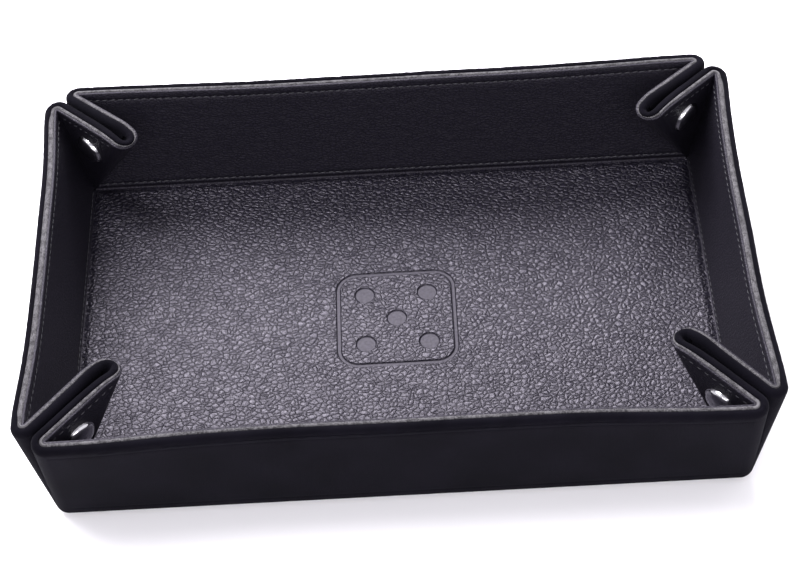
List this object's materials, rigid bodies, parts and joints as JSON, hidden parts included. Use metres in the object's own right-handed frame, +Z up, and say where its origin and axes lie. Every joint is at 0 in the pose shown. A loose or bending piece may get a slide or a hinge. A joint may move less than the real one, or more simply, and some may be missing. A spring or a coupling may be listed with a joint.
{
  "type": "folding dice tray",
  "caption": "Rectangular dice tray of leather-lined velvet that folds up and is held at its corners by press snaps.",
  "frame": {"origin": "middle of the floor's underside, on the surface that the tray stands on", "axes": "+X along the long walls, +Y towards the back long wall, +Z up out of the tray"},
  "size_m": [0.2554, 0.1704, 0.0532],
  "materials": {
    "lining_leather": "black pebbled artificial leather",
    "loop_leather": "black artificial leather over velvet",
    "stiff_board": "grey board, raw cut edge",
    "velvet": "black velvet, short nap",
    "thread": "black sewing thread",
    "snap_metal": "bright nickel"
  },
  "bodies": {
    "floor": {"floor_lining": "lining_leather", "floor_board": "stiff_board", "floor_cover": "velvet"},
    "front_wall": {"front_wall_lining": "lining_leather", "front_wall_board": "stiff_board", "front_wall_cover": "velvet", "front_wall_thread": "thread"},
    "back_wall": {"back_wall_lining": "lining_leather", "back_wall_board": "stiff_board", "back_wall_cover": "velvet", "back_wall_thread": "thread"},
    "left_wall": {"left_wall_lining": "lining_leather", "left_wall_board": "stiff_board", "left_wall_cover": "velvet", "left_wall_thread": "thread"},
    "right_wall": {"right_wall_lining": "lining_leather", "right_wall_board": "stiff_board", "right_wall_cover": "velvet", "right_wall_thread": "thread"},
    "front_left_long_half": {"front_left_long_lining": "lining_leather", "front_left_long_cover": "velvet", "front_left_long_snap_cap": "snap_metal", "front_left_snap_socket": "snap_metal"},
    "front_left_long_loop": {"front_left_long_loop": "loop_leather"},
    "front_left_short_half": {"front_left_short_lining": "lining_leather", "front_left_short_cover": "velvet", "front_left_short_snap_cap": "snap_metal", "front_left_snap_stud": "snap_metal"},
    "front_left_short_loop": {"front_left_short_loop": "loop_leather"},
    "front_right_long_half": {"front_right_long_lining": "lining_leather", "front_right_long_cover": "velvet", "front_right_long_snap_cap": "snap_metal", "front_right_snap_socket": "snap_metal"},
    "front_right_long_loop": {"front_right_long_loop": "loop_leather"},
    "front_right_short_half": {"front_right_short_lining": "lining_leather", "front_right_short_cover": "velvet", "front_right_short_snap_cap": "snap_metal", "front_right_snap_stud": "snap_metal"},
    "front_right_short_loop": {"front_right_short_loop": "loop_leather"},
    "back_left_long_half": {"back_left_long_lining": "lining_leather", "back_left_long_cover": "velvet", "back_left_long_snap_cap": "snap_metal", "back_left_snap_socket": "snap_metal"},
    "back_left_long_loop": {"back_left_long_loop": "loop_leather"},
    "back_left_short_half": {"back_left_short_lining": "lining_leather", "back_left_short_cover": "velvet", "back_left_short_snap_cap": "snap_metal", "back_left_snap_stud": "snap_metal"},
    "back_left_short_loop": {"back_left_short_loop": "loop_leather"},
    "back_right_long_half": {"back_right_long_lining": "lining_leather", "back_right_long_cover": "velvet", "back_right_long_snap_cap": "snap_metal", "back_right_snap_socket": "snap_metal"},
    "back_right_long_loop": {"back_right_long_loop": "loop_leather"},
    "back_right_short_half": {"back_right_short_lining": "lining_leather", "back_right_short_cover": "velvet", "back_right_short_snap_cap": "snap_metal", "back_right_snap_stud": "snap_metal"},
    "back_right_short_loop": {"back_right_short_loop": "loop_leather"}
  },
  "joints": [
    {"name": "front_wall_fold", "type": "hinge", "parent": "floor", "child": "front_wall", "pos_m": [0, -0.0725, 0.005], "axis": [1, 0, 0], "range_deg": [0, 80]},
    {"name": "back_wall_fold", "type": "hinge", "parent": "floor", "child": "back_wall", "pos_m": [0, 0.0725, 0.005], "axis": [-1, 0, 0], "range_deg": [0, 80]},
    {"name": "left_wall_fold", "type": "hinge", "parent": "floor", "child": "left_wall", "pos_m": [-0.115, 0, 0.005], "axis": [0, -1, 0], "range_deg": [0, 80]},
    {"name": "right_wall_fold", "type": "hinge", "parent": "floor", "child": "right_wall", "pos_m": [0.115, 0, 0.005], "axis": [0, 1, 0], "range_deg": [0, 80]},
    {"name": "front_left_long_half_fold", "type": "hinge", "parent": "front_wall", "child": "front_left_long_half", "pos_m": [-0.115, -0.0725, 0.005], "axis": [0, -0.1736, 0.9848], "range_deg": [0, 135]},
    {"name": "front_left_long_loop_bend", "type": "hinge", "parent": "front_left_long_half", "child": "front_left_long_loop", "pos_m": [-0.115, -0.0725, 0.005], "axis": [-0.445, -0.3345, -0.8308], "range_deg": [0, 85.65], "deforming": ["front_left_long_loop"]},
    {"name": "front_left_short_half_fold", "type": "hinge", "parent": "left_wall", "child": "front_left_short_half", "pos_m": [-0.115, -0.0725, 0.005], "axis": [0.1736, 0, -0.9848], "range_deg": [0, 135]},
    {"name": "front_left_short_loop_bend", "type": "hinge", "parent": "front_left_short_half", "child": "front_left_short_loop", "pos_m": [-0.115, -0.0725, 0.005], "axis": [0.3345, 0.445, 0.8308], "range_deg": [0, 85.65], "deforming": ["front_left_short_loop"]},
    {"name": "front_right_long_half_fold", "type": "hinge", "parent": "front_wall", "child": "front_right_long_half", "pos_m": [0.115, -0.0725, 0.005], "axis": [0, 0.1736, -0.9848], "range_deg": [0, 135]},
    {"name": "front_right_long_loop_bend", "type": "hinge", "parent": "front_right_long_half", "child": "front_right_long_loop", "pos_m": [0.115, -0.0725, 0.005], "axis": [-0.445, 0.3345, 0.8308], "range_deg": [0, 85.65], "deforming": ["front_right_long_loop"]},
    {"name": "front_right_short_half_fold", "type": "hinge", "parent": "right_wall", "child": "front_right_short_half", "pos_m": [0.115, -0.0725, 0.005], "axis": [0.1736, 0, 0.9848], "range_deg": [0, 135]},
    {"name": "front_right_short_loop_bend", "type": "hinge", "parent": "front_right_short_half", "child": "front_right_short_loop", "pos_m": [0.115, -0.0725, 0.005], "axis": [0.3345, -0.445, -0.8308], "range_deg": [0, 85.65], "deforming": ["front_right_short_loop"]},
    {"name": "back_left_long_half_fold", "type": "hinge", "parent": "back_wall", "child": "back_left_long_half", "pos_m": [-0.115, 0.0725, 0.005], "axis": [0, -0.1736, -0.9848], "range_deg": [0, 135]},
    {"name": "back_left_long_loop_bend", "type": "hinge", "parent": "back_left_long_half", "child": "back_left_long_loop", "pos_m": [-0.115, 0.0725, 0.005], "axis": [0.445, -0.3345, 0.8308], "range_deg": [0, 85.65], "deforming": ["back_left_long_loop"]},
    {"name": "back_left_short_half_fold", "type": "hinge", "parent": "left_wall", "child": "back_left_short_half", "pos_m": [-0.115, 0.0725, 0.005], "axis": [-0.1736, 0, 0.9848], "range_deg": [0, 135]},
    {"name": "back_left_short_loop_bend", "type": "hinge", "parent": "back_left_short_half", "child": "back_left_short_loop", "pos_m": [-0.115, 0.0725, 0.005], "axis": [-0.3345, 0.445, -0.8308], "range_deg": [0, 85.65], "deforming": ["back_left_short_loop"]},
    {"name": "back_right_long_half_fold", "type": "hinge", "parent": "back_wall", "child": "back_right_long_half", "pos_m": [0.115, 0.0725, 0.005], "axis": [0, 0.1736, 0.9848], "range_deg": [0, 135]},
    {"name": "back_right_long_loop_bend", "type": "hinge", "parent": "back_right_long_half", "child": "back_right_long_loop", "pos_m": [0.115, 0.0725, 0.005], "axis": [0.445, 0.3345, -0.8308], "range_deg": [0, 85.65], "deforming": ["back_right_long_loop"]},
    {"name": "back_right_short_half_fold", "type": "hinge", "parent": "right_wall", "child": "back_right_short_half", "pos_m": [0.115, 0.0725, 0.005], "axis": [-0.1736, 0, -0.9848], "range_deg": [0, 135]},
    {"name": "back_right_short_loop_bend", "type": "hinge", "parent": "back_right_short_half", "child": "back_right_short_loop", "pos_m": [0.115, 0.0725, 0.005], "axis": [-0.3345, -0.445, 0.8308], "range_deg": [0, 85.65], "deforming": ["back_right_short_loop"]}
  ],
  "couplings": [
    {"joint": "back_wall_fold", "follows": "front_wall_fold", "ratio": 1},
    {"joint": "left_wall_fold", "follows": "front_wall_fold", "ratio": 1},
    {"joint": "right_wall_fold", "follows": "front_wall_fold", "ratio": 1},
    {"joint": "front_left_long_half_fold", "follows": "front_wall_fold", "ratio": 1.6875},
    {"joint": "front_left_long_loop_bend", "follows": "front_wall_fold", "ratio": 1.0707},
    {"joint": "front_left_short_half_fold", "follows": "front_wall_fold", "ratio": 1.6875},
    {"joint": "front_left_short_loop_bend", "follows": "front_wall_fold", "ratio": 1.0707},
    {"joint": "front_right_long_half_fold", "follows": "front_wall_fold", "ratio": 1.6875},
    {"joint": "front_right_long_loop_bend", "follows": "front_wall_fold", "ratio": 1.0707},
    {"joint": "front_right_short_half_fold", "follows": "front_wall_fold", "ratio": 1.6875},
    {"joint": "front_right_short_loop_bend", "follows": "front_wall_fold", "ratio": 1.0707},
    {"joint": "back_left_long_half_fold", "follows": "front_wall_fold", "ratio": 1.6875},
    {"joint": "back_left_long_loop_bend", "follows": "front_wall_fold", "ratio": 1.0707},
    {"joint": "back_left_short_half_fold", "follows": "front_wall_fold", "ratio": 1.6875},
    {"joint": "back_left_short_loop_bend", "follows": "front_wall_fold", "ratio": 1.0707},
    {"joint": "back_right_long_half_fold", "follows": "front_wall_fold", "ratio": 1.6875},
    {"joint": "back_right_long_loop_bend", "follows": "front_wall_fold", "ratio": 1.0707},
    {"joint": "back_right_short_half_fold", "follows": "front_wall_fold", "ratio": 1.6875},
    {"joint": "back_right_short_loop_bend", "follows": "front_wall_fold", "ratio": 1.0707}
  ]
}
